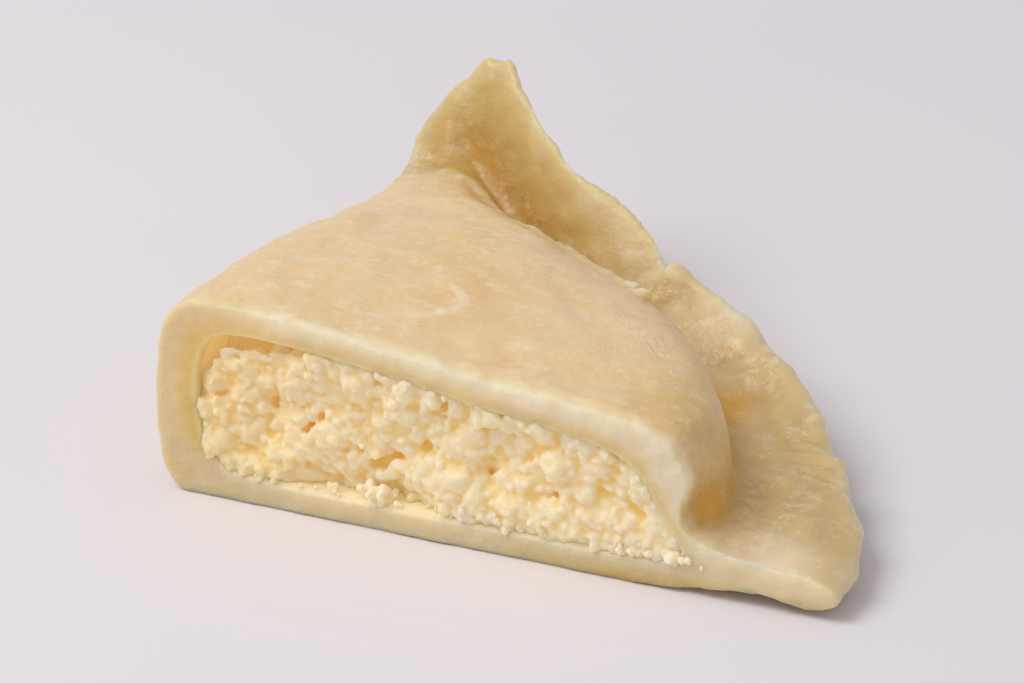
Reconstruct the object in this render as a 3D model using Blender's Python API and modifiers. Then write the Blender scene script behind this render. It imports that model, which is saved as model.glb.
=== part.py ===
"""Half of a boiled pierogi, cut across the middle with the cut standing open.

Two solids: the dough wrapper, one round of dough folded over and pinched into a flange, and the curd
filling that runs through its pocket. The cut face looks along -Y, the fold is on the -X side, the pinched
flange runs round the other side to a raised corner at the back, and +Z is up.

Both solids are lofted through sections that fan out from the fold to the rim, smoothed with Subdivision
Surface, and cut by a knife and by the table top. The sections are drawn with the fold's foot at the cut as
the origin, and the finished piece is then moved over the middle of its own base.
"""

import bmesh
import bpy
import numpy as np
from mathutils import Vector

MM = 0.001

# Driving sizes.
FOLD_REACH = 44.5 * MM  # length of the fold from the knife's cut to the raised corner
PAST_CUT = 7.0 * MM  # how far the loft runs on beyond the cut, for the knife to remove
PINCH = 35.5 * MM  # where along the fold the pocket is pinched shut
DOUGH = 2.1 * MM  # thickness of the cooked dough over the filling
DOUGH_FOLD = 2.7 * MM  # the same at the fold, where the sheet turns
DOUGH_FLOOR = 1.7 * MM  # the same under the filling, where it is pressed on the table
FLANGE = 2.2 * MM  # thickness of the two sheets pinched together
GAP = 0.3 * MM  # clearance between the filling and the dough round it
TABLE_PRESS = 0.35 * MM  # how deep the soft underside is flattened
FILLING_SET_BACK = 0.6 * MM  # the filling crumbles away from the knife
POCKET_END = 31.2 * MM  # how far along the fold the filling reaches
SLIVER = 0.03 * MM  # points closer than this after a cut are joined
FAR = 80 * MM  # well beyond the piece on every side, for the knife and the table
CENTRE = Vector((21.985 * MM, 19.530 * MM, 0))  # middle of the finished piece, at the table

# Each line below gives a size at distances along the fold, in millimetres: (distance, size or point).
FOLD_LINE = (
    (-8, (0.2, -8)),
    (0, (-0.5, 0)),
    (12, (-0.5, 12)),
    (24, (-0.1, 24)),
    (31, (0.1, 31)),
    (PINCH / MM, (-0.4, 35.6)),
    (38, (-0.7, 37.2)),
    (41, (1.0, 38.4)),
    (44.5, (4.6, 39.2)),
)
RIM_LINE = (
    (-8, (43.0, -11)),
    (0, (45.0, 0)),
    (4, (44.6, 5.5)),
    (8, (41.8, 10.6)),
    (12, (38.4, 16.2)),
    (16, (34.8, 20.6)),
    (20, (29.8, 25.2)),
    (24, (24.4, 28.4)),
    (27, (20.4, 28.9)),
    (31, (15.2, 31.9)),
    (PINCH / MM, (10.4, 34.8)),
    (38, (8.8, 36.2)),
    (41, (7.3, 37.8)),
    (44.5, (6.0, 38.8)),
)
RIM_HEIGHT = (
    (-8, 2.0),
    (0, 1.4),
    (4, 2.0),
    (8, 2.6),
    (12, 3.6),
    (16, 4.6),
    (20, 5.6),
    (24, 7.0),
    (27, 7.6),
    (31, 10.3),
    (PINCH / MM, 12.8),
    (38, 14.0),
    (41, 15.0),
    (44.5, 15.4),
)
FOLD_TOP = (
    (-8, 13.6),
    (0, 13.6),
    (12, 12.8),
    (24, 11.0),
    (31, 9.8),
    (PINCH / MM, 9.2),
    (38, 10.5),
    (41, 12.8),
    (44.5, 15.6),
)
CROWN = (
    (-8, 11.2),
    (0, 11.2),
    (12, 12.2),
    (24, 11.4),
    (31, 9.8),
    (PINCH / MM, 9.6),
    (38, 12.0),
    (41, 14.2),
    (44.5, 15.7),
)
SHOULDER = (
    (-8, 10.8),
    (0, 10.8),
    (12, 10.4),
    (24, 9.8),
    (31, 8.8),
    (PINCH / MM, 9.8),
    (38, 12.2),
    (41, 14.4),
    (44.5, 15.7),
)
POCKET_WIDTH = (
    (-8, 34.5),
    (0, 35.3),
    (4, 35.8),
    (8, 34.0),
    (16, 26.4),
    (24, 15.6),
    (31, 8.8),
    (PINCH / MM, 4.2),
    (38, 3.4),
    (41, 2.4),
    (44.5, 0.5),
)
CREASE = (
    (-8, 3.2),
    (0, 3.5),
    (8, 3.0),
    (16, 3.0),
    (24, 3.6),
    (31, 5.6),
    (PINCH / MM, 9.2),
    (38, 12.0),
    (41, 14.4),
    (44.5, 15.7),
)
UNDERSIDE = (
    (-8, 0.0),
    (0, 0.0),
    (16, 0.0),
    (24, 0.2),
    (31, 1.8),
    (PINCH / MM, 5.2),
    (38, 8.0),
    (41, 11.0),
    (44.5, 14.2),
)


def along(keys, distance):
    """The value of a keyed line at a distance along the fold, on a smooth curve through its keys."""
    at = np.array([key[0] for key in keys], float) * MM
    values = np.array([key[1] for key in keys], float) * MM
    slopes = np.gradient(values, at, axis=0)
    i = int(np.clip(np.searchsorted(at, distance) - 1, 0, len(at) - 2))
    step = at[i + 1] - at[i]
    u = (distance - at[i]) / step
    return (
        (1 + 2 * u) * (1 - u) ** 2 * values[i]
        + u * (1 - u) ** 2 * step * slopes[i]
        + u * u * (3 - 2 * u) * values[i + 1]
        + u * u * (u - 1) * step * slopes[i + 1]
    )


def section_plane(distance):
    """Where a section starts at the fold, the direction in which it runs to the rim, and its length."""
    fold = along(FOLD_LINE, distance)
    reach = along(RIM_LINE, distance) - fold
    width = float(np.hypot(*reach))
    return fold, reach / width, width


def placed(distance, outline):
    """The outline's (out, up) points as points in space."""
    fold, towards_rim, _ = section_plane(distance)
    return [(*(fold + towards_rim * out), up) for out, up in outline]


def wrapper_outline(distance):
    """The outside of the dough at one section, from the fold over the top to the rim and back underneath."""
    width = section_plane(distance)[2]
    top = float(along(FOLD_TOP, distance))
    crown = float(along(CROWN, distance))
    shoulder = float(along(SHOULDER, distance))
    crease = float(along(CREASE, distance))
    under = float(along(UNDERSIDE, distance)) - TABLE_PRESS
    rim = float(along(RIM_HEIGHT, distance))
    pocket = min(float(along(POCKET_WIDTH, distance)), 0.8 * width)
    turn = min(4.2 * MM, 0.42 * (top - under), 0.3 * pocket)
    side = min(2.6 * MM, 0.16 * pocket)
    half = FLANGE / 2
    lip = min(half, 0.3 * (width - pocket))
    middle = (pocket + width) / 2
    web = crease + 0.42 * (rim + half - crease)
    return [
        (0, (top + under) / 2),
        (0, top - 0.85 * turn),
        (0.22 * turn, top - 0.18 * turn),
        (turn, top),
        (0.36 * pocket, 0.6 * top + 0.4 * crown),
        (0.66 * pocket, crown),
        (pocket - 1.6 * side, shoulder),
        (pocket - 0.35 * side, 0.9 * shoulder + 0.1 * crease),
        (pocket + 0.15 * side, 0.45 * shoulder + 0.55 * crease),
        (pocket, crease),
        (middle, web),
        (width - lip, rim + half),
        (width, rim),
        (width - lip, rim - half),
        (middle, web - FLANGE),
        (pocket, max(under, crease - 1.5 * FLANGE)),
        (0.75 * pocket, under),
        (0.5 * pocket, under),
        (0.25 * pocket, under),
        (0.6 * turn, under),
        (0.12 * turn, under + 0.16 * turn),
        (0, under + 0.6 * turn),
    ]


def pocket_outline(distance):
    """The pocket inside the dough at one section, in the same direction round."""
    top = float(along(FOLD_TOP, distance)) - DOUGH
    crown = float(along(CROWN, distance)) - DOUGH
    shoulder = float(along(SHOULDER, distance)) - DOUGH
    pocket = float(along(POCKET_WIDTH, distance))
    floor = float(along(UNDERSIDE, distance)) + DOUGH_FLOOR
    inner = pocket - DOUGH_FOLD
    turn = min(2.8 * MM, 0.25 * inner)
    side = min(2.6 * MM, 0.14 * inner)
    low = pocket + 0.1 * side
    return [
        (DOUGH_FOLD, (top + floor) / 2),
        (DOUGH_FOLD, top - turn),
        (DOUGH_FOLD + 0.3 * turn, top - 0.25 * turn),
        (DOUGH_FOLD + turn, top),
        (DOUGH_FOLD + 0.38 * inner, 0.6 * top + 0.4 * crown),
        (DOUGH_FOLD + 0.64 * inner, crown),
        (pocket - 2.3 * side, shoulder),
        (pocket - 1.2 * side, 0.85 * shoulder + 0.15 * floor),
        (pocket - 0.85 * side, (shoulder + floor) / 2),
        (low, floor + 0.6 * MM),
        (low - 0.5 * side, floor),
        (DOUGH_FOLD + 0.64 * inner, floor),
        (DOUGH_FOLD + 0.38 * inner, floor),
        (DOUGH_FOLD + turn, floor),
        (DOUGH_FOLD + 0.2 * turn, floor + 0.2 * turn),
    ]


def drawn_in(outline, inset):
    """The outline with each of its sides moved inwards by inset."""
    points = np.array(outline)
    sides = np.roll(points, -1, axis=0) - points
    sides /= np.linalg.norm(sides, axis=1)[:, None]
    inward = np.column_stack((sides[:, 1], -sides[:, 0]))
    both = inward + np.roll(inward, 1, axis=0)
    return points + inset * 2 * both / np.maximum((both * both).sum(axis=1), 0.8)[:, None]


def loft(name, sections, smoothing):
    """One closed skin through the sections, each a ring of points, capped at both ends."""
    mesh = bmesh.new()
    rings = [[mesh.verts.new(point) for point in section] for section in sections]
    count = len(rings[0])
    for near, far in zip(rings, rings[1:]):
        for i in range(count):
            j = (i + 1) % count
            mesh.faces.new((near[i], far[i], far[j], near[j]))
    mesh.faces.new(rings[0])
    mesh.faces.new(reversed(rings[-1]))
    bmesh.ops.recalc_face_normals(mesh, faces=mesh.faces)
    data = bpy.data.meshes.new(name)
    mesh.to_mesh(data)
    mesh.free()
    loft_object = bpy.data.objects.new(name, data)
    smooth = loft_object.modifiers.new("soft form", "SUBSURF")
    smooth.levels = smoothing
    smooth.render_levels = smoothing
    return loft_object


def stations(last, count):
    """Distances along the fold, from beyond the cut to the last one."""
    return np.linspace(-PAST_CUT, last, count)


def wrapper_form():
    """The whole outside of the folded dough, before it is cut."""
    sections = [placed(d, wrapper_outline(d)) for d in stations(FOLD_REACH, 18)]
    return loft("dough_wrapper", sections, 1)


def filling_form(name, inset):
    """The filling as it fills the pocket, before it is cut."""
    distances = stations(POCKET_END, 11)
    distances[-1] -= inset
    sections = [placed(d, drawn_in(pocket_outline(d), inset)) for d in distances]
    return loft(name, sections, 1)


def block(name, low, high):
    """A plain box between two corners, used to cut with."""
    bpy.ops.mesh.primitive_cube_add(size=1)
    box = bpy.context.object
    box.name = name
    box.location = (Vector(low) + Vector(high)) / 2
    box.scale = Vector(high) - Vector(low)
    return box


def cut(target, cutter):
    """Takes the cutter's shape away from the target."""
    boolean = target.modifiers.new(f"cut by {cutter.name}", "BOOLEAN")
    boolean.operation = "DIFFERENCE"
    boolean.object = cutter


def weld(target):
    """Joins points that a cut has left almost on top of each other."""
    join = target.modifiers.new("weld", "WELD")
    join.merge_threshold = SLIVER


def material(name, colour, roughness):
    """A plain coloured surface."""
    made = bpy.data.materials.new(name)
    made.use_nodes = True
    shader = made.node_tree.nodes["Principled BSDF"]
    shader.inputs["Base Color"].default_value = (*colour, 1)
    shader.inputs["Roughness"].default_value = roughness
    shader.inputs["Metallic"].default_value = 0
    return made


def collection(name):
    """A new collection in the scene."""
    made = bpy.data.collections.new(name)
    bpy.context.scene.collection.children.link(made)
    return made


def move_to(group, *members):
    """Puts objects into one collection and takes them out of every other."""
    for member in members:
        for old in list(member.users_collection):
            old.objects.unlink(member)
        group.objects.link(member)


def main():
    for old in list(bpy.data.objects):
        bpy.data.objects.remove(old)

    wrapper = wrapper_form()
    filling = filling_form("curd_filling", GAP)
    pocket = filling_form("pocket_cutter", 0)
    knife = block("knife", (-FAR, -FAR, -FAR), (FAR, 0, FAR))
    crumbling_knife = block("knife_for_filling", (-FAR, -FAR, -FAR), (FAR, FILLING_SET_BACK, FAR))
    table = block("table", (-FAR, -FAR, -FAR), (FAR, FAR, 0))

    pierogi = collection("pierogi_half")
    cutters = collection("cutters")
    move_to(pierogi, wrapper, filling)
    move_to(cutters, pocket, knife, crumbling_knife, table)
    for cutter in cutters.objects:
        cutter.hide_render = True
        cutter.display_type = "WIRE"

    for cutter in (pocket, knife, table):
        cut(wrapper, cutter)
    cut(filling, crumbling_knife)
    weld(wrapper)
    wrapper.data.materials.append(material("boiled_dough", (0.80, 0.66, 0.38), 0.45))
    filling.data.materials.append(material("curd", (0.90, 0.80, 0.55), 0.6))

    for member in (wrapper, filling, pocket, knife, crumbling_knife, table):
        member.location -= CENTRE


main()
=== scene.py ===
"""The looks of half a boiled pierogi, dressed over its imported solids.

Both solids are replaced by finely modelled pieces of the same form. The dough skin is the wrapper's
solid, softened, rumpled and pinched. The curd is a heap of crumbs pressed together on the filling's
core, with loose crumbs on the dough floor in front of it. Lengths are in metres, written as millimetres
times MM.
"""

from types import SimpleNamespace

import bmesh
import bpy
import numpy as np
from mathutils import Matrix, Vector, noise
from mathutils.bvhtree import BVHTree


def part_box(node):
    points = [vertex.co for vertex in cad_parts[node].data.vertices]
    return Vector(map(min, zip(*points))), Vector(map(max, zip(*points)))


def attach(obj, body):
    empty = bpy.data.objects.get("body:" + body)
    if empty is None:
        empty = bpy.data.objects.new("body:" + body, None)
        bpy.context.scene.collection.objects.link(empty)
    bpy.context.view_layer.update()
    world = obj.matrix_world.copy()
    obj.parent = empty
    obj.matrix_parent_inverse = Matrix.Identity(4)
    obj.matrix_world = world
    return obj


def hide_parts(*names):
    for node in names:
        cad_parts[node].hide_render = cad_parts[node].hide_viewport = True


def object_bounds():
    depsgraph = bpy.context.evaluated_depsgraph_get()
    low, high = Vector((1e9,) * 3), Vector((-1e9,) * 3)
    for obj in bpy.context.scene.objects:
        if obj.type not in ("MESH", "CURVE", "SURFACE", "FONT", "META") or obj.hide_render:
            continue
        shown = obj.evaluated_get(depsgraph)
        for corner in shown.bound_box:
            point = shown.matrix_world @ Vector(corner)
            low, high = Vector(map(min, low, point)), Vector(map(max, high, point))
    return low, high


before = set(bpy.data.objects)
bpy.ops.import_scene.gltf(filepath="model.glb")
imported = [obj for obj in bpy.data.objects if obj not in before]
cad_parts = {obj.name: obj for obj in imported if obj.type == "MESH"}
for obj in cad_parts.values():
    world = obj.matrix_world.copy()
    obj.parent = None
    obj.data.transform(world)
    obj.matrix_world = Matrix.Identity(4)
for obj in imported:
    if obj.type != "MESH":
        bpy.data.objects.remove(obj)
cad_low, cad_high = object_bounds()

MM = 0.001
CUT = cad_low.y  # the knife's plane
FOLD = cad_low.x  # the outside of the fold

SKIN_MESH = 0.22 * MM  # size of the dough skin's faces
CORE_MESH = 0.2 * MM  # size of the faces of the curd's core
CURD_MESH = 0.11 * MM  # size of the curd's faces
LOOSE_MESH = 0.07 * MM  # size of the loose crumbs' faces
DOUGH_FLOOR = 1.75 * MM  # top of the dough under the filling

# The camera stands where it sees into the cut from the rim's side, and looks at the middle of the piece.
CAMERA_SIDE = 24.55  # degrees round from the front, towards the rim
CAMERA_RISE = 24.18  # degrees above the table
CAMERA_DISTANCE = 306.5 * MM
CAMERA_LENS = 171.0
CAMERA_AIM = Vector((-6.1 * MM, -2.7 * MM, 6.0 * MM))


def from_fold(x, y, z):
    """A place given in millimetres from the fold, from the cut and from the table."""
    return Vector((FOLD + x * MM, CUT + y * MM, z * MM))


# ---------------------------------------------------------------- meshes


def new_piece(name, mesh):
    """A named object in the scene."""
    piece = bpy.data.objects.new(name, mesh)
    bpy.context.scene.collection.objects.link(piece)
    return piece


def solid_mesh(node):
    """A solid's mesh with its loose facets joined into one skin."""
    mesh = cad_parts[node].data.copy()
    form = bmesh.new()
    form.from_mesh(mesh)
    bmesh.ops.remove_doubles(form, verts=form.verts, dist=0.01 * MM)
    form.to_mesh(mesh)
    form.free()
    mesh.materials.clear()
    return mesh


def reshape(piece, kind, **settings):
    """Gives a piece the mesh that one modifier makes of it."""
    modifier = piece.modifiers.new(kind.title(), kind)
    for name, value in settings.items():
        setattr(modifier, name, value)
    seen = piece.evaluated_get(bpy.context.evaluated_depsgraph_get())
    made = bpy.data.meshes.new_from_object(seen)
    made.name = piece.name
    piece.modifiers.clear()
    piece.data = made


def thin_out(piece, hidden, left=0.12):
    """Merges faces where hidden is above 0, down to the given share of them."""
    share = 1 - (1 - left) * float(np.mean(hidden))
    group = piece.vertex_groups.new(name="hidden")
    for level in range(1, 11):
        chosen = np.flatnonzero(np.round(hidden * 10) == level)
        if len(chosen):
            group.add(chosen.tolist(), level / 10, "REPLACE")
    reshape(piece, "DECIMATE", ratio=share, vertex_group=group.name)
    piece.vertex_groups.clear()


def drop_specks(mesh, fewest=40):
    """Deletes every separate bit that has fewer points than that."""
    work = bmesh.new()
    work.from_mesh(mesh)
    seen, specks = set(), []
    for start in work.verts:
        if start in seen:
            continue
        seen.add(start)
        bit = [start]
        for point in bit:
            for edge in point.link_edges:
                other = edge.other_vert(point)
                if other not in seen:
                    seen.add(other)
                    bit.append(other)
        if len(bit) < fewest:
            specks += bit
    bmesh.ops.delete(work, geom=specks, context="VERTS")
    work.to_mesh(mesh)
    work.free()


def points_of(mesh):
    """The places of a mesh's points, one row each."""
    flat = np.empty(len(mesh.vertices) * 3, np.float32)
    mesh.vertices.foreach_get("co", flat)
    return flat.reshape(-1, 3).astype(float)


def normals_of(mesh):
    """The directions in which a mesh's points face."""
    flat = np.empty(len(mesh.vertices) * 3, np.float32)
    mesh.vertex_normals.foreach_get("vector", flat)
    return flat.reshape(-1, 3).astype(float)


def place_points(mesh, points):
    """Moves a mesh's points to the given places."""
    mesh.vertices.foreach_set("co", points.astype(np.float32).ravel())
    mesh.update()


def keep_values(mesh, name, values):
    """Stores one number for each point, for the material to read."""
    stored = mesh.attributes.new(name, "FLOAT", "POINT")
    stored.data.foreach_set("value", np.asarray(values, np.float32))


def relaxed(mesh, values, rounds):
    """Values at a mesh's points, each moved half way to its neighbours' mean, a number of times."""
    flat = np.empty(len(mesh.edges) * 2, np.int32)
    mesh.edges.foreach_get("vertices", flat)
    one, other = flat.reshape(-1, 2).T
    here = np.concatenate((one, other))
    there = np.concatenate((other, one))
    count = len(mesh.vertices)
    neighbours = np.bincount(here, minlength=count)[:, None]
    values = values.reshape(count, -1).astype(float)
    for _ in range(rounds):
        sums = [np.bincount(here, weights=column[there], minlength=count) for column in values.T]
        values = values + 0.5 * (np.column_stack(sums) / neighbours - values)
    return values


def part_relaxed(mesh, points, share, rounds):
    """Points relaxed by a share of their own, from 0 to 1."""
    return points + share[:, None] * (relaxed(mesh, points, rounds) - points)


def fade(values, start, end):
    """0 up to start and 1 from end on, with a smooth change between them."""
    share = np.clip((values - start) / (end - start), 0, 1)
    return share * share * (3 - 2 * share)


def mottle(points, size, octaves=2, seed=0):
    """Uneven values of about -1 to 1 at the points, with patches of about the given size."""
    shift = Vector((17.3, 9.1, 5.7)) * (seed + 1)
    return np.array([noise.fractal(Vector(p) / size + shift, 0.9, 2.0, octaves) for p in points])


def near(points, place, reach):
    """1 at a place from the fold, fading to 0 at one reach or three from it, all in millimetres."""
    away = (points - np.array(from_fold(*place))) / (np.array(reach) * MM)
    return fade(np.linalg.norm(away, axis=1), 1, 0)


def away_from(points, line):
    """How far the points are from a line through places given in millimetres from the fold."""
    best = np.full(len(points), np.inf)
    for one, other in zip(line, line[1:]):
        start = np.array(from_fold(*one))
        step = np.array(from_fold(*other)) - start
        share = np.clip((points - start) @ step / (step @ step), 0, 1)
        best = np.minimum(best, np.linalg.norm(points - start - share[:, None] * step, axis=1))
    return best


# ---------------------------------------------------------------- the dough

# Places in millimetres from the fold, the cut and the table.
RIM = [
    (0.2, 35.6, 9.2), (-0.1, 37.2, 10.4), (1.6, 38.4, 12.8), (5.2, 39.2, 15.4), (6.6, 38.8, 15.6),
    (7.9, 37.8, 15.0), (9.4, 36.2, 14.0), (11.0, 34.8, 12.8), (15.8, 31.9, 10.3), (21.0, 28.9, 7.6),
    (25.0, 28.4, 7.0), (30.4, 25.2, 5.6), (35.4, 20.6, 4.6), (39.0, 16.2, 3.6), (42.4, 10.6, 2.6),
    (45.2, 5.5, 2.0), (45.6, 0.0, 1.4),
]
DOME_EDGE = [(4.9, 32.8, 9.6), (8.2, 31.7, 8.4), (14.0, 25.6, 9.9), (17.9, 23.8, 9.5), (23.9, 19.6, 9.7)]
DOME_FOOT = [
    (4.4, 35.3, 9.2), (9.5, 31.5, 5.6), (15.8, 26.8, 3.6), (26.4, 19.4, 3.0), (34.1, 10.1, 3.0),
    (35.9, 5.2, 3.2), (35.8, 0.0, 3.5),
]


def pulled(points):
    """The points, with a few bits of dough drawn out by the fingers."""
    pulls = (
        ((4.9, 38.3, 14.8), 1.7, (-0.25, 0.1, 0.75)),  # the raised corner is blunt
        ((0.3, 36.3, 10.2), 0.8, (-0.9, 0, 0.25)),  # a burr where it leaves the fold
        ((24.4, 19.2, 9.7), 0.7, (0.55, 0.4, 0.45)),  # a torn flap on the dome's shoulder
        ((23.4, 20.2, 9.5), 0.6, (0.25, 0.3, 0.35)),
    )
    moved = points.copy()
    widened = fade(away_from(points, RIM[5:10]), 3.2 * MM, 0.4 * MM)
    widened *= near(points, (18.4, 30.2, 9.2), (7.5, 5.5, 5.5))
    moved += widened[:, None] * np.array((0.75, 0.6, 0.7)) * MM
    for place, reach, step in pulls:
        moved += near(points, place, reach)[:, None] * np.array(step) * MM
    return moved


def pinch_marks(points):
    """Where fingers and folding left the dough higher or lower, in metres along its own facing."""
    rise = np.zeros(len(points))
    # A pleat crosses the flange from the rim to the dome: one side stands up, the other is tucked under.
    pleat, along_rim = (21.9, 27.6, 7.6), Vector((0.85, -0.52, 0)).normalized()
    beyond = (points - np.array(from_fold(*pleat))) @ np.array(along_rim)
    close = near(points, pleat, 5.5)
    rise += close * 0.42 * MM * fade(beyond, -0.25 * MM, 0.25 * MM) * fade(beyond, 3.5 * MM, 0.6 * MM)
    rise -= close * 0.30 * MM * fade(beyond, 0.1 * MM, -0.3 * MM) * fade(beyond, -2.4 * MM, -0.5 * MM)
    marks = (
        ((39.4, 15.2, 4.0), 2.0, -0.45),  # a dent in the rim
        ((43.6, 8.0, 3.0), 3.4, 0.22),  # the rim swells beyond it
        ((1.4, 35.6, 9.4), 1.3, 0.35),  # the dome's tail overlaps the corner
        ((29.7, 23.2, 5.5), 2.2, 0.55),  # lumps and hollows along the flange
        ((32.0, 19.2, 4.3), 2.6, -0.40),
        ((34.6, 17.2, 4.5), 1.9, 0.45),
        ((35.2, 12.0, 4.2), 1.4, -0.40),
        ((37.6, 9.6, 3.5), 2.0, 0.45),
        ((40.6, 5.6, 3.3), 2.4, 0.40),
        ((36.6, 3.0, 3.9), 1.9, -0.10),  # a pocket at the dome's foot
        ((39.4, 0.2, 2.9), 3.2, -0.75),  # the flange is pressed thin beside it, at the cut
    )
    for place, reach, height in marks:
        rise += height * MM * near(points, place, reach)
    wrinkles = (
        ((35.6, 13.9, 3.9), (39.4, 13.6, 3.7)),
        ((36.6, 12.7, 3.8), (39.9, 12.2, 3.6)),
        ((37.4, 11.6, 3.8), (40.6, 11.0, 3.5)),
        ((36.9, 14.9, 4.1), (38.9, 14.6, 4.0)),
    )
    for one, other in wrinkles:
        rise -= 0.16 * MM * fade(away_from(points, (one, other)), 0.42 * MM, 0)
    return rise


def floury_marks(points):
    """0 to 1: where raw flour or a rub has left the skin whitish."""
    around = (15.2, 7.4, 12.4)
    offset = (points - np.array(from_fold(*around))) / MM
    ring = np.hypot(offset[:, 0], 0.8 * offset[:, 1])
    angle = np.arctan2(offset[:, 1], offset[:, 0])
    smear = fade(np.abs(ring - 1.9 - 0.5 * mottle(points, 1.3 * MM, 2, 8)), 0.6, 0.1)
    smear *= fade(angle, -2.4, -0.6) * fade(angle, 1.7, 1.0) * (near(points, around, 3.4) > 0)
    smear *= 0.75 + 0.6 * mottle(points, 0.9 * MM, 2, 9)
    dab = near(points, (20.4, 12.6, 12.2), (1.3, 0.8, 2))
    return np.clip(0.8 * smear + 0.5 * dab, 0, 1)


def beyond_filling(points, normals, filling):
    """How far points are from the filling, and 1 for those that face it or are near the cut."""
    away, facing = [], []
    for point, normal in zip(points, normals):
        _, outward, _, distance = filling.find_nearest(Vector(point))
        away.append(distance)
        facing.append(-outward.dot(Vector(normal)))
    facing = fade(np.array(facing), -0.2, 0.2)
    return np.array(away), np.maximum(facing, fade(points[:, 1] - CUT, 2.5 * MM, 1.5 * MM))


def softened(mesh, to_filling):
    """The wrapper's points once its facets have melted, and how far they are behind the knife's plane.

    The knife's edge is rounded over a little, but it stays crisp round the curd and on the table.
    """
    points = points_of(mesh)
    from_cut = points[:, 1] - CUT
    crisp = np.maximum(fade(to_filling, 1.1 * MM, 0.6 * MM), fade(points[:, 2], 1.0 * MM, 0.3 * MM))
    crisp = np.maximum(crisp, 0.65) * fade(from_cut, 1.2 * MM, 0.6 * MM)
    points = part_relaxed(mesh, relaxed(mesh, points, 2), 1 - crisp, 5)
    from_cut = points[:, 1] - CUT
    at_fold = fade(points[:, 0] - FOLD, 6 * MM, 1 * MM) * fade(from_cut, 3.0 * MM, 0)
    points = part_relaxed(mesh, points, at_fold * (1 - crisp), 12)
    on_top = fade(to_filling, 4.6 * MM, 2.6 * MM) * fade(from_cut, 0.5 * MM, 1.6 * MM)
    return part_relaxed(mesh, points, on_top * (1 - crisp), 20), from_cut


def dough_regions(mesh, points, normals, to_filling, facing, from_cut):
    """Where each part of the dough is: shares from 0 to 1 at its points, and distances in metres."""
    over_filling = relaxed(mesh, fade(to_filling, 4.6 * MM, 2.6 * MM), 40)[:, 0]
    cut_face = fade(from_cut, 0.9 * MM, 0.35 * MM) * fade(normals[:, 1], -0.55, -0.85)
    pinched = (1 - over_filling) * (1 - cut_face)
    across = points[:, 0] - FOLD
    dome_foot = np.interp(across, *np.array(DOME_FOOT).T[:2] * MM)

    # The knife leaves a slightly ragged edge along the top of the cut; its pale band is partly the cut
    # dough's own tone and partly a painted highlight on the rounded edge.
    ragged = 0.5 * MM * mottle(points, 1.7 * MM, 3, 6)
    lip = fade(from_cut + ragged, 1.4 * MM, 0.2 * MM) * fade(normals[:, 2], -0.35, 0.3)
    lip *= fade(to_filling, 1.0 * MM, 1.6 * MM) * fade(across, 4 * MM, 9 * MM)
    lip *= fade(points[:, 2], 2.5 * MM, 4.5 * MM)
    return SimpleNamespace(
        to_filling=to_filling,
        from_cut=from_cut,
        from_rim=away_from(points, RIM),
        over_filling=over_filling,
        cut_face=cut_face,
        pinched=pinched,
        lip=lip,
        inside=fade(to_filling, 0.9 * MM, 0.5 * MM) * facing,
        table=fade(points[:, 2], 0.6 * MM, 0.05 * MM) * fade(normals[:, 2], -0.5, -0.8),
        leaf=fade(from_cut - dome_foot, -0.4 * MM, 0.6 * MM) * fade(across, 24 * MM, 20 * MM),
        grains=(0.3 + 0.7 * pinched) * fade(mottle(points, 2.6 * MM, 3, 13), -0.3, 0.45),
        fringe=fade(away_from(points, DOME_EDGE), 1.3 * MM, 0),
    )


def dough_rise(mesh, points, normals, at):
    """How far the dough stands out along its own facing, in metres."""
    rise = 0.22 * MM * mottle(points, 6.5 * MM, 2, 1)
    rise += 0.12 * MM * mottle(points, 2.4 * MM, 2, 2)
    rise += 0.10 * MM * at.pinched * mottle(points, 1.5 * MM, 1, 4)
    behind = at.leaf * fade(normals[:, 1], 0.1, 0.6) * fade(at.from_rim, 0.5 * MM, 2.2 * MM)
    rise += 0.9 * MM * relaxed(mesh, behind, 25)[:, 0]
    rise += 0.28 * MM * at.pinched * mottle(points, 3.6 * MM, 1, 5)
    rise += 0.16 * MM * at.lip * mottle(points, 1.2 * MM, 2, 7)
    rise += 0.07 * MM * at.grains * (1 + mottle(points, 0.6 * MM, 1, 12))
    rise += pinch_marks(points)
    rise += 0.22 * MM * at.fringe * (0.8 + mottle(points, 1.0 * MM, 2, 10))
    rise *= 1 - 0.65 * at.cut_face
    rise += 0.07 * MM * at.cut_face * mottle(points, 1.3 * MM, 3, 19)
    return rise * (1 - at.inside) * (1 - at.table)


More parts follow.
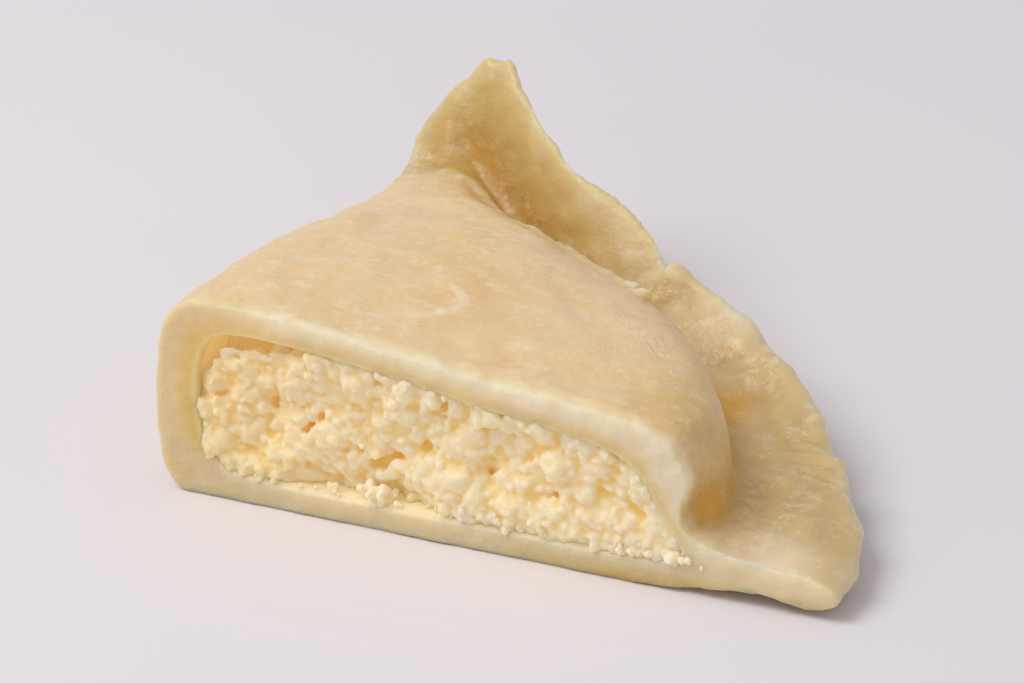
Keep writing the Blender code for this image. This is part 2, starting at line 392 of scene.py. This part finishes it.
def dough_marks(mesh, points, normals, at):
    """What the dough's material reads at each point, by name."""
    broad = relaxed(mesh, points, 140)
    # Painted shade: amber on the side of the dome that faces away from the light, and in the shaded
    # hollow just beyond the dome near the cut.
    flank = at.over_filling * fade(normals[:, 2], 0.99, 0.8) * fade(normals[:, 0], 0, 0.3)
    flank *= fade(at.from_cut, 0.3 * MM, 2.4 * MM) * (0.75 + 0.25 * fade(points[:, 2], 8 * MM, 5 * MM))
    shaded = at.over_filling * near(points, (34.0, 4.0, 7.6), (7.5, 9.0, 6.0))
    flank = np.maximum(flank, np.clip(1.3 * shaded, 0, 0.8) * fade(at.from_cut, 0.3 * MM, 1.4 * MM))

    # Painted shade: deep amber in two pockets along the dome's foot and the flange.
    pocket = 1.4 * near(points, (35.4, 3.0, 4.2), (1.9, 2.8, 2.1))
    pocket += 1.1 * near(points, (30.9, 17.8, 3.7), (2.4, 3.8, 1.8))
    pocket *= fade(at.from_cut, 0.3 * MM, 1.4 * MM)
    tanned = near(points, (17.5, 9.5, 12.3), (8.5, 8.0, 3)) * (0.7 + mottle(points, 3.5 * MM, 2, 15))
    # Painted amber shade along the dome's foot, where the skin folds in.
    crease_shade = fade(away_from(points, DOME_FOOT), 4.0 * MM, 1.0 * MM) * (1 - at.cut_face) * (1 - at.inside)
    crease_shade *= 0.65 + 0.6 * mottle(points, 4.5 * MM, 2, 20)

    # Whitish marks: the smear and the dab; the band along the cut's top edge, partly a painted
    # highlight; a pale patch on the flange's top by the cut; painted light where the flange's top turns
    # up beyond the pleat; and the dome's edge next to the leaf.
    floury = floury_marks(points) + at.lip * (0.25 + 0.45 * mottle(points, 2.4 * MM, 2, 18))
    floury += 0.7 * near(points, (40.5, 0.5, 2.6), (5.5, 5.5, 3)) * (1 - at.cut_face)
    floury += 0.35 * near(points, (27.5, 24.5, 6.2), (7, 5, 4)) + 0.3 * at.fringe

    gap = corner_gap(points) * fade(at.from_cut, 0.3 * MM, 1.5 * MM)
    floor = 0.7 * fade(points[:, 2], 3 * MM, 2 * MM) * fade(at.from_cut, -0.2 * MM, 0.9 * MM)
    return {
        "hollow": ((broad - points) * normals).sum(axis=1) / MM,
        "over_filling": at.over_filling,
        "cut_face": at.cut_face,
        "to_filling": at.to_filling / MM,
        "from_rim": at.from_rim / MM,
        "inside": at.inside,
        "flank": flank,
        "pocket": np.clip(pocket, 0, 1),
        "grains": at.grains,
        "tanned": np.clip(tanned, 0, 1),
        "floury": np.clip(floury, 0, 1),
        "raised": at.leaf,
        "crease_shade": np.clip(crease_shade, 0, 1),
        "lit": at.inside * np.maximum(np.maximum(gap, floor), 0.12),
        "wrinkled": near(points, (28.8, 12.0, 10.3), (6, 9, 3)) * at.over_filling,
    }


def dough_skin(filling):
    """The dough, rumpled and pinched, with its cut edge softened by the knife."""
    skin = new_piece("dough_skin", solid_mesh("dough_wrapper"))
    reshape(skin, "REMESH", mode="VOXEL", voxel_size=SKIN_MESH, use_smooth_shade=True)
    mesh = skin.data
    to_filling, facing = beyond_filling(points_of(mesh), normals_of(mesh), filling)
    points, from_cut = softened(mesh, to_filling)
    points = pulled(points)
    tucked = near(points, (36.6, 0.6, 4.4), (3.4, 5.5, 3.4)) * fade(to_filling, 0.9 * MM, 2.1 * MM)
    points[:, 0] -= 1.0 * MM * tucked
    place_points(mesh, points)

    normals = normals_of(mesh)
    at = dough_regions(mesh, points, normals, to_filling, facing, from_cut)
    rise = dough_rise(mesh, points, normals, at)
    place_points(mesh, points + rise[:, None] * normals)
    for name, values in dough_marks(mesh, points, normals, at).items():
        keep_values(mesh, name, values)
    thin_out(skin, np.maximum(at.inside * fade(from_cut, 2.5 * MM, 4 * MM), at.table))
    skin.data.materials.append(dough_finish())
    return skin


# ---------------------------------------------------------------- the curd


# Layers of crumbs over the core, in millimetres: spacing, least and greatest radius, and how far back.
CRUMB_LAYERS = ((1.5, 0.8, 1.35, 0.45), (0.85, 0.4, 0.75, 0.1), (0.6, 0.15, 0.4, -0.1))


def crumb_shapes(random, count):
    """A few irregular crumbs of radius 1: balls with lumps, and with some sides broken flat."""
    shapes = []
    for i in range(count):
        ball = bmesh.new()
        bmesh.ops.create_icosphere(ball, subdivisions=3, radius=1)
        points = np.array([v.co for v in ball.verts])
        corners = [[v.index for v in face.verts] for face in ball.faces]
        ball.free()
        lumps = 1 + 0.30 * mottle(points, 0.9, 3, i)
        points = points * lumps[:, None]
        for _ in range(6):
            side = random.normal(size=3)
            side /= np.linalg.norm(side)
            past = np.clip(points @ side - random.uniform(0.55, 0.85), 0, None)
            points -= 0.8 * past[:, None] * side
        shapes.append((points, np.array(corners)))
    return shapes


def turned(random):
    """A rotation in any direction."""
    axis = Vector(random.normal(size=3)).normalized()
    return np.array(Matrix.Rotation(random.uniform(0, 2 * np.pi), 3, axis))


def crumb_heap(random, shapes, places):
    """One mesh of many crumbs, one at each (centre, radius)."""
    points, corners, used = [], [], 0
    for centre, radius in places:
        shape, faces = shapes[random.integers(len(shapes))]
        stretch = random.uniform(0.8, 1.25, size=3)
        points.append((shape * stretch * radius) @ turned(random).T + np.array(centre))
        corners.append(faces + used)
        used += len(shape)
    mesh = bpy.data.meshes.new("crumbs")
    mesh.from_pydata(np.concatenate(points), [], np.concatenate(corners))
    return mesh


def curd_front(filling, x, z):
    """How far behind the knife's plane the broken front of the curd lies, at places x and z."""
    places = np.column_stack((x, np.full_like(x, CUT + 3.6 * MM), z))
    inset = np.array([depth_inside(filling, place) for place in places])
    places[:, 1] = 0
    back = 0.65 * MM + 0.9 * MM * mottle(places, 3.0 * MM, 2, 11)
    at_wall = fade(inset, 1.5 * MM, 0.2 * MM)
    crevices = np.clip(mottle(places, 2.2 * MM, 2, 21) - 0.15, 0, 1)
    back += at_wall * (0.15 * MM + 1.3 * MM * crevices - back)
    back += 0.3 * MM * mottle(places, 1.4 * MM, 1, 16)
    along = (x - FOLD) / MM
    undercut = fade(along, 8, 11) * fade(along, 20, 17)
    back += 1.1 * undercut * MM * fade(z, 3.7 * MM, 2.4 * MM)
    back -= 0.5 * fade(along, 8, 5) * MM * fade(z, 4.5 * MM, 2.8 * MM)
    spilt = fade(along, 19, 22) * fade(z, 4.6 * MM, 3.0 * MM)
    return np.clip(back - 0.5 * MM * spilt, 0.05 * MM, 2.6 * MM)


def depth_inside(solid, place):
    """How deep a place is inside a closed solid; below 0 outside it."""
    skin, facing, _, away = solid.find_nearest(Vector(place))
    return away if (skin - Vector(place)).dot(facing) > 0 else -away


def corner_gap(points):
    """1 where the curd has come away from the wall, in the corner above the fold; 0 elsewhere."""
    return fade((points[..., 0] - FOLD) / MM, 13, 7) * fade(points[..., 2], 5.5 * MM, 9 * MM)


def curd_core(filling_mesh, filling, holes):
    """The body of the curd, with its front broken back and deep holes in it."""
    core = new_piece("curd", filling_mesh)
    reshape(core, "REMESH", mode="VOXEL", voxel_size=CORE_MESH)
    mesh = core.data
    points = points_of(mesh)
    x, y, z = points.T
    dug = 0.25 * MM + curd_front(filling, x, z) - (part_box("curd_filling")[0].y - CUT)
    for hx, hz, wide in holes:
        away = np.hypot(x - hx, (z - hz) * 1.2) / wide
        dug = np.maximum(dug, dug + 1.3 * MM * fade(away, 1.3, 0.6))
    points[:, 1] = y + dug * fade(y - CUT, 6 * MM, 0.6 * MM)
    gap = corner_gap(points)
    shrunk = (1.4 * gap * fade(y - CUT, 3.4 * MM, 1.6 * MM) - 0.42 * (1 - gap)) * MM
    points[:, ::2] -= shrunk[:, None] * normals_of(mesh)[:, ::2]
    place_points(mesh, points)
    return core


def clump(random, centre, radius):
    """A crumb of one size as a few smaller ones stuck together."""
    parts = [(centre, 0.6 * radius)]
    for _ in range(random.integers(5, 10)):
        away = random.normal(size=3) * (1.15, 1.0, 0.75)
        away /= np.linalg.norm(away)
        parts.append((centre + 0.72 * radius * away, random.uniform(0.22, 0.48) * radius))
    return parts


def crumb_places(random, filling, holes):
    """Centres and sizes of the crumbs that cover the front of the curd."""
    low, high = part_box("curd_filling")
    places = []
    for spacing, smallest, largest, sunk in CRUMB_LAYERS:
        x, z = np.meshgrid(
            np.arange(low.x - 0.2 * MM, high.x + 0.2 * MM, spacing * MM),
            np.arange(low.z, high.z + 0.3 * MM, spacing * MM),
        )
        x = x.ravel() + random.uniform(-0.5, 0.5, x.size) * spacing * MM
        z = z.ravel() + random.uniform(-0.5, 0.5, z.size) * spacing * MM
        size = MM * random.uniform(smallest, largest, x.size)
        front = CUT + curd_front(filling, x, z) + sunk * MM
        y = front + random.uniform(0, 0.45, x.size) * MM + 0.5 * size
        for centre, radius in zip(np.column_stack((x, y, z)), size):
            in_hole = [np.hypot(centre[0] - hx, (centre[2] - hz) * 1.2) < wide for hx, hz, wide in holes]
            if any(in_hole):
                continue
            level = (centre[0], low.y + 3 * MM, centre[2])
            gap = 1.2 * MM * corner_gap(centre)
            if depth_inside(filling, level) > gap - 0.2 * MM:
                places.append((centre, radius))
    return places


def curd(filling_mesh, filling):
    """The filling: crumbs pressed together over a core, broken open at the cut."""
    random = np.random.default_rng(7)
    low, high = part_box("curd_filling")
    holes = []
    for _ in range(26):
        hx, hz = random.uniform(low.x, high.x), random.uniform(low.z + 2 * MM, high.z - 1 * MM)
        holes.append((hx, hz, random.uniform(0.3, 0.65) * MM))
    piece = curd_core(filling_mesh, filling, holes)
    crumbs = crumb_heap(random, crumb_shapes(random, 16), crumb_places(random, filling, holes))
    joined = bmesh.new()
    joined.from_mesh(piece.data)
    joined.from_mesh(crumbs)
    joined.to_mesh(piece.data)
    joined.free()
    bpy.data.meshes.remove(crumbs)

    reshape(piece, "REMESH", mode="VOXEL", voxel_size=CURD_MESH, use_smooth_shade=True)
    place_points(piece.data, relaxed(piece.data, points_of(piece.data), 2))
    thin_out(piece, fade(points_of(piece.data)[:, 1] - CUT, 4 * MM, 6 * MM), 0.04)
    mesh = piece.data
    drop_specks(mesh)
    points = points_of(mesh)
    crumbly = 0.05 * MM * mottle(points, 0.45 * MM, 3, 14) * fade(points[:, 1] - CUT, 5 * MM, 4 * MM)
    place_points(mesh, points + crumbly[:, None] * normals_of(mesh))
    keep_curd_values(mesh)
    mesh.materials.append(curd_finish("curd", CURD.cream, 1.5 * MM))
    return piece


def keep_curd_values(mesh):
    """Stores how hollow the curd is at each point, and how far behind the knife's plane."""
    points, normals = points_of(mesh), normals_of(mesh)
    broad = relaxed(mesh, points, 130)
    keep_values(mesh, "hollow", ((broad - points) * normals).sum(axis=1) / MM)
    keep_values(mesh, "depth", (points[:, 1] - CUT) / MM)


def loose_crumbs():
    """Crumbs of curd that fell on the dough floor in front of the filling."""
    random = np.random.default_rng(11)
    fallen = [
        ((14.9, 0.35), 0.85), ((14.0, 0.75), 0.6), ((15.7, 0.8), 0.55), ((11.8, 0.55), 0.42),
        ((21.1, 0.45), 0.72), ((21.0, 1.1), 0.6), ((22.9, 0.5), 0.72), ((24.3, 0.8), 0.5),
        ((30.9, 0.4), 0.72), ((32.3, 0.5), 0.75), ((33.9, 0.5), 0.78), ((33.1, 0.2), 0.6),
        ((35.0, 0.55), 0.55), ((32.0, 0.0), 0.5), ((34.5, 0.05), 0.66), ((35.5, 0.1), 0.5),
        ((36.3, 0.2), 0.42), ((37.0, 0.3), 0.3), ((31.2, 0.0), 0.45), ((26.4, 0.6), 0.34),
        ((27.9, 0.5), 0.4), ((29.4, 0.45), 0.3),
    ]
    for _ in range(22):
        fallen.append(((random.uniform(6, 36), random.uniform(0.1, 0.4)), random.uniform(0.12, 0.24)))
    places = []
    for (x, y), radius in fallen:
        centre = np.array(from_fold(x, y + 0.1, DOUGH_FLOOR / MM + 0.7 * radius))
        places += clump(random, centre, radius * MM) if radius > 0.3 else [(centre, radius * MM)]
    piece = new_piece("loose_crumbs", crumb_heap(random, crumb_shapes(random, 10), places))
    reshape(piece, "REMESH", mode="VOXEL", voxel_size=LOOSE_MESH, use_smooth_shade=True)
    mesh = piece.data
    drop_specks(mesh)
    place_points(mesh, relaxed(mesh, points_of(mesh), 2))
    keep_curd_values(mesh)
    mesh.materials.append(curd_finish("loose_curd", CURD.loose_cream, 0.7 * MM))
    return piece


# ---------------------------------------------------------------- finishes


class Number:
    """A number that changes over a surface. Sums of it add the nodes that work them out."""

    def __init__(self, tree, socket):
        self.tree = tree
        self.socket = socket

    def worked(self, operation, *terms, **settings):
        node = self.tree.nodes.new("ShaderNodeMath")
        node.operation = operation
        for name, value in settings.items():
            setattr(node, name, value)
        for socket, term in zip(node.inputs, terms):
            if isinstance(term, Number):
                self.tree.links.new(term.socket, socket)
            else:
                socket.default_value = term
        return Number(self.tree, node.outputs[0])

    def __add__(self, other):
        return self.worked("ADD", self, other)

    def __radd__(self, other):
        return self.worked("ADD", other, self)

    def __sub__(self, other):
        return self.worked("SUBTRACT", self, other)

    def __rsub__(self, other):
        return self.worked("SUBTRACT", other, self)

    def __mul__(self, other):
        return self.worked("MULTIPLY", self, other)

    def __rmul__(self, other):
        return self.worked("MULTIPLY", other, self)

    def from_to(self, start, end):
        """0 at start and 1 at end, held within 0 and 1."""
        return self.worked("MULTIPLY", self - start, 1 / (end - start), use_clamp=True)

    def between(self, low, high):
        """Low at 0.3 and high at 0.7, the range of most noise."""
        return self.from_to(0.3, 0.7) * (high - low) + low


class Finish:
    """A material in the making: a Principled shader and the nodes that feed it."""

    def __init__(self, name):
        self.material = bpy.data.materials.new(name)
        self.material.use_nodes = True
        self.tree = self.material.node_tree
        self.tree.nodes.clear()
        self.output = self.node("ShaderNodeOutputMaterial")
        self.shader = self.node("ShaderNodeBsdfPrincipled")
        self.tree.links.new(self.shader.outputs[0], self.output.inputs["Surface"])

    def node(self, kind, settings=None, inputs=None):
        """A node with its settings, and with values or links on its sockets."""
        made = self.tree.nodes.new(kind)
        for name, value in (settings or {}).items():
            setattr(made, name, value)
        self.feed(made, inputs or {})
        return made

    def feed(self, node, inputs):
        """Puts a value on each named socket, or links it."""
        for name, value in inputs.items():
            socket = node.inputs[name]
            if isinstance(value, Number):
                self.tree.links.new(value.socket, socket)
            elif isinstance(value, bpy.types.NodeSocket):
                self.tree.links.new(value, socket)
            else:
                socket.default_value = value

    def number(self, socket):
        return Number(self.tree, socket)

    def stored(self, name):
        """A number kept at the mesh's points."""
        return self.number(self.node("ShaderNodeAttribute", {"attribute_name": name}).outputs["Fac"])

    def place(self):
        """Where a point lies on the piece, in metres."""
        return self.node("ShaderNodeTexCoord").outputs["Object"]

    def noise(self, size, detail=2.0, roughness=0.5):
        """Patches of about the given size, from 0 to 1."""
        inputs = {"Vector": self.place(), "Scale": 1 / size, "Detail": detail, "Roughness": roughness}
        return self.number(self.node("ShaderNodeTexNoise", {}, inputs).outputs["Fac"])

    def spots(self, size):
        """How far the nearest of many scattered spots is, in spot spacings."""
        inputs = {"Vector": self.place(), "Scale": 1 / size}
        return self.number(self.node("ShaderNodeTexVoronoi", {}, inputs).outputs["Distance"])

    def blend(self, share, one, other):
        """Colour one where share is 0, the other where it is 1."""
        one, other = [(*tone, 1) if isinstance(tone, tuple) else tone for tone in (one, other)]
        settings = {"data_type": "RGBA", "clamp_factor": True}
        return self.node("ShaderNodeMix", settings, {0: share, 6: one, 7: other}).outputs[2]

    def layered(self, colour, layers):
        """Colours laid over one another, each by its own share."""
        for share, tone in layers:
            colour = self.blend(share, colour, tone)
        return colour

    def bumped(self, height, depth, under=None):
        """A normal with fine relief of the given depth in metres, over another one."""
        inputs = {"Height": height, "Strength": 1.0, "Distance": depth}
        if under:
            inputs["Normal"] = under
        return self.node("ShaderNodeBump", {}, inputs).outputs[0]


DOUGH_MARKS = (
    "hollow", "over_filling", "cut_face", "to_filling", "from_rim", "inside", "flank", "pocket",
    "grains", "tanned", "floury", "raised", "crease_shade", "lit", "wrinkled",
)

DOUGH = SimpleNamespace(
    waxy=(0.63, 0.47, 0.20),
    milky=(0.86, 0.665, 0.365),
    warm=(0.86, 0.59, 0.27),
    blotched=(0.80, 0.55, 0.22),
    tanned=(0.84, 0.56, 0.23),
    amber=(0.70, 0.43, 0.11),
    leaf=(0.60, 0.43, 0.14),
    leaf_foot=(0.45, 0.25, 0.03),
    crease_shade=(0.60, 0.34, 0.05),
    grainy=(0.95, 0.84, 0.62),
    milk=(0.94, 0.80, 0.54),
    cut=(0.88, 0.77, 0.56),
    cut_at_fold=(0.68, 0.52, 0.26),
    cut_low=(0.74, 0.58, 0.30),
    cut_patch=(0.79, 0.64, 0.37),
    cut_middle=(0.82, 0.65, 0.34),
    cut_by_curd=(0.78, 0.53, 0.10),
    cut_foot=(0.66, 0.43, 0.10),
    floor=(0.90, 0.77, 0.54),
    lining=(0.85, 0.70, 0.32),
    hollow=(0.70, 0.44, 0.09),
    pocket=(0.62, 0.34, 0.03),
    rim=(0.76, 0.66, 0.46),
    fleck=(0.95, 0.87, 0.69),
    flour=(0.98, 0.86, 0.68),
    speck=(0.55, 0.36, 0.15),
    lit_through=(0.82, 0.70, 0.32),
    lit_pocket=(0.72, 0.40, 0.02),
)


def dough_relief(finish, at, flecks):
    """The dough's finest relief, as a normal."""
    # Fine wrinkles on the dome's shoulder, parallel to its outline.
    middle = from_fold(14, 2, 0)
    middle.z = 0
    inputs = {0: finish.place(), 1: (1, 1, 0)}
    flat = finish.node("ShaderNodeVectorMath", {"operation": "MULTIPLY"}, inputs).outputs[0]
    inputs = {0: flat, 1: middle}
    out = finish.node("ShaderNodeVectorMath", {"operation": "DISTANCE"}, inputs).outputs["Value"]
    phase = finish.number(out) * (2 * np.pi / (0.46 * MM)) + finish.noise(1.3 * MM, 3) * 24
    patchy = finish.noise(1.8 * MM, 2).from_to(0.4, 0.65)
    wrinkles = phase.worked("SINE", phase) * at.wrinkled * patchy

    normal = finish.bumped(finish.noise(0.2 * MM, 3, 0.6), 0.035 * MM)
    normal = finish.bumped(wrinkles, 0.045 * MM, normal)
    normal = finish.bumped(flecks, 0.06 * MM, normal)
    normal = finish.bumped(finish.noise(0.8 * MM, 4, 0.6) * at.cut_face, 0.16 * MM, normal)
    return finish.bumped(finish.noise(0.55 * MM, 3, 0.5), 0.06 * MM, normal)


def dough_finish():
    """Boiled dough: milky over the curd, waxy yellow where it is thick, with painted amber shade in its
    creases and on the side away from the light.
    """
    finish = Finish("boiled_dough")
    at = SimpleNamespace(**{name: finish.stored(name) for name in DOUGH_MARKS})
    sides = finish.node("ShaderNodeSeparateXYZ", {}, {"Vector": finish.place()}).outputs
    across, height = finish.number(sides["X"]), finish.number(sides["Z"])
    above_floor = height.from_to(2.2 * MM, 4.0 * MM)

    clouds = finish.noise(5 * MM, 3, 0.55).from_to(0.48, 0.68)
    blotches = finish.noise(1.2 * MM, 3, 0.55).from_to(0.5, 0.7)
    grain = finish.noise(0.5 * MM, 3, 0.6).from_to(0.5, 0.72)
    milk = finish.noise(0.9 * MM, 4, 0.6).from_to(0.52, 0.66)
    colour = finish.layered(DOUGH.waxy, (
        (at.over_filling, DOUGH.milky),
        (clouds * at.over_filling * 0.5, DOUGH.warm),
        (blotches * at.over_filling * 0.3, DOUGH.blotched),
        (at.tanned * 0.6, DOUGH.tanned),
        # Painted shade on the side of the dome away from the light.
        (at.flank * 0.95, DOUGH.amber),
        # The raised leaf is darker, partly its own tone and partly painted shade; towards its foot, in
        # the fold against the dome, it is painted as deep shade.
        (at.raised * 0.95, DOUGH.leaf),
        (at.raised * at.from_rim.from_to(2.4, 5.0), DOUGH.leaf_foot),
        # Painted amber shade along the dome's foot.
        (at.crease_shade * 0.8, DOUGH.crease_shade),
        (grain * (at.over_filling * 0.22 + 0.06), DOUGH.grainy),
        (milk * at.over_filling * (1 - at.flank) * 0.38, DOUGH.milk),
    ))

    # The cut wall: pale outside, golden next to the curd as painted shade, darker low down and a darker
    # amber at its foot towards the rim.
    past_fold = across.from_to(FOLD + 2.5 * MM, FOLD + 8 * MM)
    towards_rim = across.from_to(FOLD + 22 * MM, FOLD + 30 * MM)
    patches = finish.noise(1.1 * MM, 3).from_to(0.45, 0.62)
    across_wall = at.to_filling + (finish.noise(1.5 * MM, 3) * 0.8 - 0.4) + 0.6 * past_fold
    upper_cut = at.cut_face * above_floor
    colour = finish.layered(colour, (
        (at.cut_face, DOUGH.cut),
        (at.cut_face * (1 - past_fold) * 0.8, DOUGH.cut_at_fold),
        (at.cut_face * (1 - height.from_to(0.8 * MM, 3.2 * MM)) * 0.8, DOUGH.cut_low),
        (patches * at.cut_face * 0.35, DOUGH.cut_patch),
        (upper_cut * (1 - across_wall.from_to(1.6, 2.8)) * 0.8, DOUGH.cut_middle),
        # Painted golden shade next to the curd.
        (upper_cut * (1 - across_wall.from_to(0.5, 2.1)), DOUGH.cut_by_curd),
        (at.cut_face * (1 - height.from_to(0.3 * MM, 1.3 * MM)) * towards_rim * 0.8, DOUGH.cut_foot),
        (at.inside, DOUGH.floor),
        # Painted golden shade on the pocket's walls above the floor.
        (at.inside * above_floor, DOUGH.lining),
    ))

    # Paler along the thin rim: partly the thin dough's own tone, partly painted light on and through the
    # edge.
    rim = (1 - at.from_rim.from_to(0.5, 2.0)) * (1 - at.cut_face) * (1 - at.inside)
    granules = (1 - finish.spots(0.38 * MM).from_to(0.12, 0.42)) * 0.6
    granules += finish.noise(0.9 * MM, 3).from_to(0.45, 0.7) * 0.5
    flecks = granules * at.grains * (1 - 0.9 * at.raised)
    specks = 1 - finish.spots(3.2 * MM).from_to(0.025, 0.05)
    colour = finish.layered(colour, (
        # Painted shade: amber in the skin's hollows.
        (at.hollow.from_to(0.1, 0.5) * (1 - at.inside) * 0.7, DOUGH.hollow),
        # Painted shade: deep amber in the pockets.
        (at.pocket * 0.92, DOUGH.pocket),
        (rim * 0.5, DOUGH.rim),
        (flecks * 0.65, DOUGH.fleck),
        # Whitish marks, partly a painted highlight along the cut's edge and painted light on the flange
        # by the pleat.
        (at.floury * 0.85, DOUGH.flour),
        (specks * 0.4, DOUGH.speck),
    ))

    lit = finish.layered((0, 0, 0), ((at.lit, DOUGH.lit_through), (at.pocket * 0.4, DOUGH.lit_pocket)))
    roughness = finish.noise(0.5 * MM, 2).between(0.3, 0.5) + 0.2 * at.floury + 0.2 * at.cut_face
    finish.feed(finish.shader, {
        "Base Color": colour,
        "Roughness": roughness,
        "Subsurface Weight": 0.9,
        "Subsurface Radius": (1.0, 0.78, 0.45),
        "Subsurface Scale": 2.2 * MM,
        "Emission Color": lit,
        "Emission Strength": 0.28,
        "Specular IOR Level": 0.5,
        "Coat Weight": finish.noise(0.35 * MM, 2).from_to(0.58, 0.7) * 0.5,
        "Coat Roughness": 0.2,
        "Normal": dough_relief(finish, at, flecks),
    })
    return finish.material


CURD = SimpleNamespace(
    cream=(0.96, 0.81, 0.57),
    loose_cream=(1.0, 0.87, 0.68),
    butter=(0.96, 0.74, 0.41),
    by_fold=(0.92, 0.69, 0.34),
    golden=(1.0, 0.71, 0.21),
    lit_crumb=(0.30, 0.23, 0.13),
    lit_hole=(0.9, 0.58, 0.14),
)


def curd_finish(name, cream, scatter):
    """Moist curd: creamy on its crumbs, with painted golden shade down in its holes and a painted glow.
    Light goes as deep as scatter.
    """
    finish = Finish(name)
    hollow, depth = finish.stored("hollow"), finish.stored("depth")
    sides = finish.node("ShaderNodeSeparateXYZ", {}, {"Vector": finish.place()}).outputs
    by_fold = 1 - finish.number(sides["X"]).from_to(FOLD + 2 * MM, FOLD + 16 * MM)
    grain = finish.noise(0.4 * MM, 3, 0.6)
    colour = finish.layered(CURD.butter, (
        (grain.from_to(0.3, 0.6), cream),
        # Painted shade: yellower where the curd lies deep behind the knife's plane.
        (depth.from_to(1.2, 2.6) * 0.6, CURD.butter),
        (by_fold * 0.7, CURD.by_fold),
        # Painted shade: golden in the curd's hollows.
        (hollow.from_to(-0.02, 0.22) * 0.9, CURD.golden),
    ))
    finish.feed(finish.shader, {
        "Base Color": colour,
        "Roughness": 0.45,
        "Subsurface Weight": 0.75,
        "Subsurface Radius": (1.0, 0.82, 0.55),
        "Subsurface Scale": scatter,
        "Specular IOR Level": 0.45,
        "Emission Color": finish.blend(hollow.from_to(0.05, 0.4), CURD.lit_crumb, CURD.lit_hole),
        "Emission Strength": 0.2,
        "Normal": finish.bumped(finish.noise(0.24 * MM, 3, 0.65), 0.1 * MM),
    })
    return finish.material


def table_finish():
    """A smooth matt surface, pale with a breath of lilac."""
    finish = Finish("pale_table")
    shade = finish.noise(60 * MM, 2)
    colour = finish.blend(shade.from_to(0.3, 0.7), (0.83, 0.80, 0.83), (0.85, 0.82, 0.845))
    finish.feed(finish.shader, {"Base Color": colour, "Roughness": 0.7, "Specular IOR Level": 0.2})
    return finish.material


# ---------------------------------------------------------------- stage


def table_top():
    """A wide floor under the piece."""
    form = bmesh.new()
    bmesh.ops.create_grid(form, x_segments=1, y_segments=1, size=1.2)
    mesh = bpy.data.meshes.new("table_top")
    form.to_mesh(mesh)
    form.free()
    floor = new_piece("table_top", mesh)
    floor.location.z = cad_low.z - 0.02 * MM
    mesh.materials.append(table_finish())


def soft_light(name, towards, away, size, power, colour):
    """A square light that shines on the piece from a direction, some way off."""
    light = bpy.data.lights.new(name, "AREA")
    light.shape = "SQUARE"
    light.size = size
    light.energy = power
    light.color = colour
    lamp = bpy.data.objects.new(name, light)
    bpy.context.scene.collection.objects.link(lamp)
    direction = Vector(towards).normalized()
    lamp.location = direction * away
    lamp.rotation_euler = direction.to_track_quat("Z", "Y").to_euler()


def lighting():
    """A broad window light from the fold's side and above, and a pale room all round."""
    scene = bpy.context.scene
    room = bpy.data.worlds.new("pale_room")
    room.use_nodes = True
    background = room.node_tree.nodes["Background"]
    background.inputs["Color"].default_value = (0.92, 0.90, 0.95, 1)
    background.inputs["Strength"].default_value = 0.55
    scene.world = room
    soft_light("window", (-0.5, -0.42, 0.9), 0.5, 0.3, 1.3, (1.0, 0.98, 0.94))
    scene.view_settings.view_transform = "Standard"


def camera():
    """The camera, looking down into the cut from the rim's side."""
    side, rise = np.radians(CAMERA_SIDE), np.radians(CAMERA_RISE)
    back = Vector((np.sin(side) * np.cos(rise), -np.cos(side) * np.cos(rise), np.sin(rise)))
    lens = bpy.data.cameras.new("camera")
    lens.lens = CAMERA_LENS
    lens.clip_start = 0.01
    lens.clip_end = 10
    made = bpy.data.objects.new("camera", lens)
    bpy.context.scene.collection.objects.link(made)
    made.location = CAMERA_AIM + back * CAMERA_DISTANCE
    made.rotation_mode = "QUATERNION"
    made.rotation_quaternion = back.to_track_quat("Z", "Y")
    bpy.context.scene.camera = made


def main():
    filling_mesh = solid_mesh("curd_filling")
    form = bmesh.new()
    form.from_mesh(filling_mesh)
    filling = BVHTree.FromBMesh(form)
    form.free()

    skin = dough_skin(filling)
    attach(skin, "root")
    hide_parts("dough_wrapper")

    filled = curd(filling_mesh, filling)
    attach(filled, "root")
    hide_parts("curd_filling")

    crumbs = loose_crumbs()
    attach(crumbs, "root")
    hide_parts("curd_filling")

    table_top()
    lighting()
    camera()


main()
